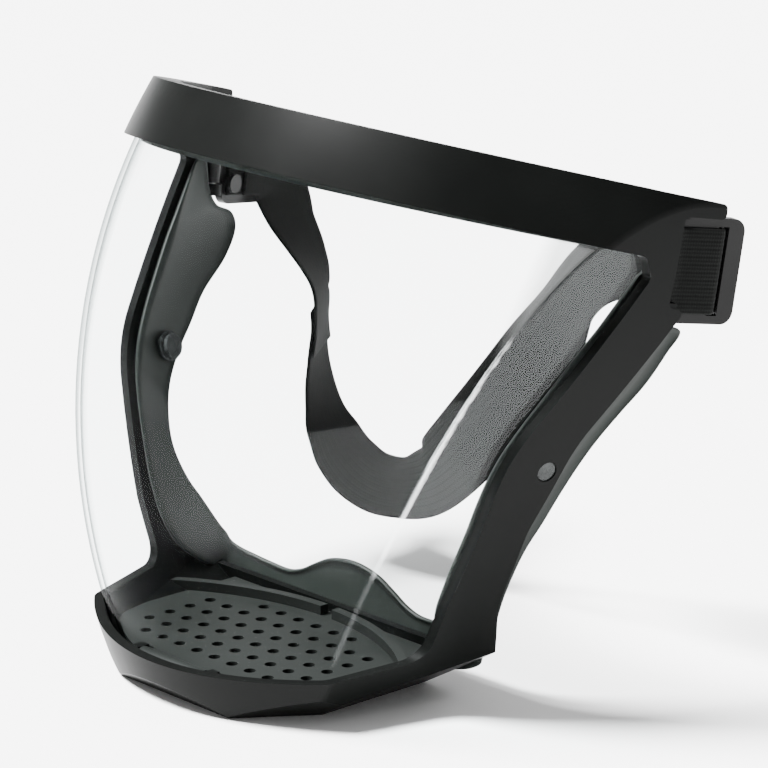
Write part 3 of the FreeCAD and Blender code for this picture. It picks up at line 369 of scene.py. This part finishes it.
seal = face_seal()
pad = filter_pad()
webs = [strap_loop(sign, side) for sign, side in SIDES]
webs += [head_strap("left", NEAR), head_strap("right", FAR)]

# ---------------------------------------------------------------- materials


def new_material(name):
    mat = bpy.data.materials.new(name)
    mat.use_nodes = True
    return mat, mat.node_tree.nodes, mat.node_tree.links, mat.node_tree.nodes["Principled BSDF"]


def bump_from(nodes, links, height, distance, strength):
    bump = nodes.new("ShaderNodeBump")
    bump.inputs["Distance"].default_value = distance
    bump.inputs["Strength"].default_value = strength
    links.new(height, bump.inputs["Height"])
    return bump.outputs["Normal"]


def noise(nodes, links, scale, detail=4.0, rough=0.5):
    """Noise over the object's own coordinates, in metres."""
    tex = nodes.new("ShaderNodeTexNoise")
    tex.inputs["Scale"].default_value = scale
    tex.inputs["Detail"].default_value = detail
    tex.inputs["Roughness"].default_value = rough
    coord = nodes.new("ShaderNodeTexCoord")
    links.new(coord.outputs["Object"], tex.inputs["Vector"])
    return tex.outputs["Fac"]


def ramp(nodes, links, value, low, high, start=0.3, stop=0.7):
    node = nodes.new("ShaderNodeMapRange")
    node.inputs["From Min"].default_value = start
    node.inputs["From Max"].default_value = stop
    node.inputs["To Min"].default_value = low
    node.inputs["To Max"].default_value = high
    links.new(value, node.inputs["Value"])
    return node.outputs["Result"]


def tint(nodes, links, value, dark, light):
    node = nodes.new("ShaderNodeValToRGB")
    node.color_ramp.elements[0].color = (*dark, 1)
    node.color_ramp.elements[1].color = (*light, 1)
    node.color_ramp.elements[0].position = 0.3
    node.color_ramp.elements[1].position = 0.7
    links.new(value, node.inputs["Fac"])
    return node.outputs["Color"]


def moulded(name, dark, light, rough, ior=1.2):
    """Injection-moulded plastic: fine spark-eroded grain and slow gloss variation."""
    mat, nodes, links, bsdf = new_material(name)
    broad = noise(nodes, links, 24.0, 3.0)
    fine = noise(nodes, links, 2600.0, 2.0)
    links.new(tint(nodes, links, broad, dark, light), bsdf.inputs["Base Color"])
    links.new(ramp(nodes, links, broad, rough[0], rough[1]), bsdf.inputs["Roughness"])
    links.new(bump_from(nodes, links, fine, 0.00001, 0.5), bsdf.inputs["Normal"])
    bsdf.inputs["IOR"].default_value = ior
    return mat


def rubber(name, dark, light, rough):
    mat, nodes, links, bsdf = new_material(name)
    broad = noise(nodes, links, 40.0, 4.0)
    fine = noise(nodes, links, 1400.0, 4.0)
    links.new(tint(nodes, links, broad, dark, light), bsdf.inputs["Base Color"])
    links.new(ramp(nodes, links, broad, rough[0], rough[1]), bsdf.inputs["Roughness"])
    links.new(bump_from(nodes, links, fine, 0.00003, 0.5), bsdf.inputs["Normal"])
    bsdf.inputs["Subsurface Weight"].default_value = 0.08
    bsdf.inputs["Subsurface Radius"].default_value = (0.002, 0.002, 0.002)
    bsdf.inputs["IOR"].default_value = 1.25
    return mat


def metal(name, colour, rough):
    mat, nodes, links, bsdf = new_material(name)
    fine = noise(nodes, links, 900.0, 3.0)
    dark = tuple(c * 0.85 for c in colour)
    links.new(tint(nodes, links, fine, dark, colour), bsdf.inputs["Base Color"])
    links.new(ramp(nodes, links, fine, rough, rough + 0.15), bsdf.inputs["Roughness"])
    bsdf.inputs["Metallic"].default_value = 1.0
    return mat


RIB_PITCH = 0.00114
COURSE_PITCH = 0.0009


def webbing(name):
    """Knitted elastic: ribs along the band, fine courses across, fuzzy black yarn."""
    mat, nodes, links, bsdf = new_material(name)
    coord = nodes.new("ShaderNodeTexCoord")
    split = nodes.new("ShaderNodeSeparateXYZ")
    links.new(coord.outputs["UV"], split.inputs["Vector"])

    def wave(socket, pitch, offset=None):
        scaled = nodes.new("ShaderNodeMath")
        scaled.operation = "MULTIPLY_ADD"
        links.new(socket, scaled.inputs[0])
        scaled.inputs[1].default_value = 2 * math.pi / pitch
        scaled.inputs[2].default_value = 0.0
        if offset is not None:
            links.new(offset, scaled.inputs[2])
        sine = nodes.new("ShaderNodeMath")
        sine.operation = "SINE"
        links.new(scaled.outputs[0], sine.inputs[0])
        return sine.outputs[0]

    def math_node(op, a, b):
        node = nodes.new("ShaderNodeMath")
        node.operation = op
        links.new(a, node.inputs[0])
        if isinstance(b, float):
            node.inputs[1].default_value = b
        else:
            links.new(b, node.inputs[1])
        return node.outputs[0]

    ribs = wave(split.outputs["X"], RIB_PITCH)
    shift = math_node("MULTIPLY", ribs, 1.2)
    courses = wave(split.outputs["Y"], COURSE_PITCH, shift)
    weave = math_node("ADD", math_node("MULTIPLY", ribs, 0.25), math_node("MULTIPLY", courses, 0.25))
    height = math_node("ADD", weave, 0.5)
    fuzz = noise(nodes, links, 1600.0, 4.0)
    broad = noise(nodes, links, 60.0, 3.0)
    both = math_node("ADD", height, math_node("MULTIPLY", fuzz, 0.2))
    # painted shade: the yarn colour is darker in the valleys of the weave and lighter on its crests, with
    # random fuzz tone on top
    colour = tint(nodes, links, math_node("MULTIPLY", both, 0.75), (0.0012, 0.0013, 0.0012),
                  (0.006, 0.0066, 0.0062))
    mixed = nodes.new("ShaderNodeMixRGB")
    mixed.blend_type = "MULTIPLY"
    mixed.inputs["Fac"].default_value = 0.6
    links.new(colour, mixed.inputs["Color1"])
    links.new(tint(nodes, links, broad, (0.6, 0.6, 0.6), (1.0, 1.0, 1.0)), mixed.inputs["Color2"])
    links.new(mixed.outputs["Color"], bsdf.inputs["Base Color"])
    bsdf.inputs["Roughness"].default_value = 0.85
    bsdf.inputs["Sheen Weight"].default_value = 0.01
    bsdf.inputs["IOR"].default_value = 1.12
    bsdf.inputs["Sheen Roughness"].default_value = 0.5
    links.new(bump_from(nodes, links, both, 0.00012, 0.5), bsdf.inputs["Normal"])
    return mat


def felt(name):
    mat, nodes, links, bsdf = new_material(name)
    fibre = noise(nodes, links, 900.0, 6.0, rough=0.7)
    links.new(tint(nodes, links, fibre, (0.006, 0.006, 0.006), (0.03, 0.03, 0.03)),
              bsdf.inputs["Base Color"])
    links.new(bump_from(nodes, links, fibre, 0.0002, 0.9), bsdf.inputs["Normal"])
    bsdf.inputs["Roughness"].default_value = 0.95
    bsdf.inputs["Sheen Weight"].default_value = 0.2
    return mat


SHEET_CLEAR = (0.975, 0.985, 0.985, 1)
SHEET_EDGE_ON = (0.4, 0.43, 0.43, 1)
# painted reflection, set by place: share of mirror by |x of the surface direction|: front panel, a painted
# highlight on the crease, a light painted reflection on the side panel
PAINTED_REFLECTION_SHARES = ((0.0, 0.006), (0.78, 0.006), (0.81, 0.34), (0.84, 0.34), (0.88, 0.012))
PAINTED_HIGHLIGHT_FADE = (0.048, 0.058)
PAINTED_HIGHLIGHT_SIDE = (-0.01, 0.02)


def clear_sheet(name):
    """Thin clear polycarbonate: a clear sheet under a mirror, which grows at grazing angles.

    The rounded crease at the left of the front panel carries a painted highlight above the chin, and the left
    side panel a light painted reflection. They stand in for the reflections of a studio.
    """
    mat, nodes, links, bsdf = new_material(name)
    bsdf.inputs["Base Color"].default_value = (0.9, 0.92, 0.92, 1)
    bsdf.inputs["Metallic"].default_value = 1.0
    smudge = noise(nodes, links, 18.0, 5.0)
    links.new(ramp(nodes, links, smudge, 0.02, 0.06), bsdf.inputs["Roughness"])
    clear = nodes.new("ShaderNodeBsdfTransparent")
    coord = nodes.new("ShaderNodeTexCoord")
    split = nodes.new("ShaderNodeSeparateXYZ")
    links.new(coord.outputs["Normal"], split.inputs["Vector"])
    located = nodes.new("ShaderNodeSeparateXYZ")
    links.new(coord.outputs["Object"], located.inputs["Vector"])
    above_chin = ramp(nodes, links, located.outputs["Z"], 0.04, 1.0, *PAINTED_HIGHLIGHT_FADE)
    left_half = ramp(nodes, links, located.outputs["X"], 0.1, 1.0, *PAINTED_HIGHLIGHT_SIDE)
    sideways = nodes.new("ShaderNodeMath")
    sideways.operation = "ABSOLUTE"
    links.new(split.outputs["X"], sideways.inputs[0])
    # painted highlight along the crease and painted reflection on the side panel, set by surface direction
    painted_reflection_ramp = nodes.new("ShaderNodeValToRGB")
    while len(painted_reflection_ramp.color_ramp.elements) < len(PAINTED_REFLECTION_SHARES):
        painted_reflection_ramp.color_ramp.elements.new(0.5)
    for element, (position, value) in zip(painted_reflection_ramp.color_ramp.elements, PAINTED_REFLECTION_SHARES):
        element.position = position
        element.color = (value, value, value, 1)
    links.new(sideways.outputs[0], painted_reflection_ramp.inputs["Fac"])
    facing = nodes.new("ShaderNodeLayerWeight")
    facing.inputs["Blend"].default_value = 0.5
    power = nodes.new("ShaderNodeMath")
    power.operation = "POWER"
    power.inputs[1].default_value = 5.0
    links.new(facing.outputs["Facing"], power.inputs[0])
    # the sheet is seen through more plastic towards its silhouette
    path = nodes.new("ShaderNodeValToRGB")
    path.color_ramp.elements[0].position = 0.78
    path.color_ramp.elements[0].color = SHEET_CLEAR
    path.color_ramp.elements[1].position = 0.93
    path.color_ramp.elements[1].color = SHEET_EDGE_ON
    links.new(facing.outputs["Facing"], path.inputs["Fac"])
    links.new(path.outputs["Color"], clear.inputs["Color"])
    share = nodes.new("ShaderNodeMath")
    share.operation = "MULTIPLY_ADD"
    share.inputs[1].default_value = 0.05
    lit = painted_reflection_ramp.outputs["Color"]
    # the painted highlight fades out below the chin and over the right half
    for factor in (above_chin, left_half):
        scaled = nodes.new("ShaderNodeMath")
        scaled.operation = "MULTIPLY"
        links.new(lit, scaled.inputs[0])
        links.new(factor, scaled.inputs[1])
        lit = scaled.outputs[0]
    links.new(lit, share.inputs[2])
    links.new(power.outputs[0], share.inputs[0])
    mix = nodes.new("ShaderNodeMixShader")
    links.new(share.outputs[0], mix.inputs["Fac"])
    links.new(clear.outputs["BSDF"], mix.inputs[1])
    links.new(bsdf.outputs["BSDF"], mix.inputs[2])
    links.new(mix.outputs["Shader"], nodes["Material Output"].inputs["Surface"])
    return mat


def solid_clear(name):
    """Clear moulded plastic for the studs and washers."""
    mat, nodes, links, bsdf = new_material(name)
    cloud = noise(nodes, links, 300.0, 3.0)
    links.new(tint(nodes, links, cloud, (0.015, 0.017, 0.017), (0.04, 0.043, 0.043)),
              bsdf.inputs["Base Color"])
    links.new(ramp(nodes, links, cloud, 0.03, 0.09), bsdf.inputs["Roughness"])
    bsdf.inputs["Transmission Weight"].default_value = 0.3
    bsdf.inputs["IOR"].default_value = 1.2
    return mat


black = moulded("FrameBlack", (0.0012, 0.0014, 0.0013), (0.002, 0.0023, 0.0021), (0.36, 0.44), ior=1.12)
grille_mat = moulded("GrilleBlack", (0.006, 0.0068, 0.0063), (0.009, 0.010, 0.0094), (0.34, 0.46), ior=1.16)
plate_mat = moulded("BuckleBlack", (0.004, 0.004, 0.004), (0.007, 0.007, 0.007), (0.2, 0.3), ior=1.16)
liner_mat = moulded("LinerGrey", (0.02, 0.023, 0.022), (0.03, 0.034, 0.032), (0.4, 0.55))
seal_mat = rubber("SealGrey", (0.007, 0.009, 0.008), (0.011, 0.0135, 0.012), (0.42, 0.55))
web_mat = webbing("ElasticWeb")
felt_mat = felt("FilterFelt")
steel = metal("PinSteel", (0.55, 0.55, 0.54), 0.28)
lens_mat = clear_sheet("LensClear")
stud_mat = solid_clear("StudClear")

LOOKS = {
    "frame": black, "lens": lens_mat, "brow_liner": liner_mat, "chin_grille": grille_mat,
    "grille_pin": steel, "filter_cover": grille_mat, "lens_stud": stud_mat,
    "lens_washer": stud_mat, "strap_buckle": plate_mat, "buckle_pin": steel, "strap_rivet": plate_mat,
}
for name, node in frame["nodes"].items():
    look = LOOKS.get(name.removesuffix("_left").removesuffix("_right"))
    if look is None:
        continue
    if not node.material_slots:
        node.data.materials.append(look)
    for slot in node.material_slots:
        slot.material = look
seal.data.materials.append(seal_mat)
pad.data.materials.append(felt_mat)
for obj in webs:
    obj.data.materials.append(web_mat)

# ---------------------------------------------------------------- stage, lights, camera

FLOOR_SIZE = 30.0
WORLD_STRENGTH = 0.7
SUN_STRENGTH = 30.0
SUN_ANGLE = math.radians(20)
SUN_FROM = Vector((-0.55, -0.55, 1.4))
SOFTBOX_POWER = 6

# the camera was fitted to the photograph, whose frame is 768 pixels wide
SENSOR = 36.0
FOCAL_IN_PIXELS = 3958.16
FRAME_PIXELS = 768
TARGET = Vector((0.0, 0.04497, 0.07975))
DISTANCE = 1.1965
AZIMUTH = math.radians(47.565)
ELEVATION = math.radians(16.005)


def place(name, data, where=(0, 0, 0)):
    obj = bpy.data.objects.new(name, data)
    bpy.context.scene.collection.objects.link(obj)
    obj.location = where
    return obj


def face(obj, direction):
    """Turn a light or the camera, which look along their own -Z."""
    obj.rotation_euler = direction.to_track_quat("-Z", "Y").to_euler()


def white_floor():
    bpy.ops.mesh.primitive_plane_add(size=FLOOR_SIZE, location=(0, 0, 0))
    floor = bpy.context.object
    floor.name = "Floor"
    mat, nodes, links, bsdf = new_material("FloorWhite")
    bsdf.inputs["Base Color"].default_value = (0.86, 0.86, 0.86, 1)
    bsdf.inputs["Roughness"].default_value = 0.6
    floor.data.materials.append(mat)


def white_world():
    world = bpy.data.worlds.new("Studio")
    bpy.context.scene.world = world
    world.use_nodes = True
    background = world.node_tree.nodes["Background"]
    background.inputs["Color"].default_value = (1, 1, 1, 1)
    background.inputs["Strength"].default_value = WORLD_STRENGTH


def soft_sun():
    sun = bpy.data.lights.new("SoftSun", "SUN")
    sun.energy = SUN_STRENGTH
    sun.angle = SUN_ANGLE
    face(place("SoftSun", sun), -SUN_FROM)


def soft_box():
    """A large soft light behind the shield."""
    box = bpy.data.lights.new("SoftBoxBack", "AREA")
    box.shape = "RECTANGLE"
    box.size, box.size_y = 0.5, 0.7
    box.energy = SOFTBOX_POWER
    where = Vector((0.3, 1.2, 0.8))
    face(place("SoftBoxBack", box, where), Vector((0, 0.03, 0.08)) - where)


def photo_camera():
    camera = bpy.data.cameras.new("Camera")
    camera.sensor_width = SENSOR
    camera.lens = SENSOR * FOCAL_IN_PIXELS / FRAME_PIXELS
    camera.clip_start = 0.01
    level = math.cos(ELEVATION)
    toward = Vector((math.sin(AZIMUTH) * level, -math.cos(AZIMUTH) * level, math.sin(ELEVATION)))
    cam = place("Camera", camera, TARGET + toward * DISTANCE)
    face(cam, TARGET - cam.location)
    bpy.context.scene.camera = cam


white_floor()
white_world()
soft_sun()
soft_box()
photo_camera()
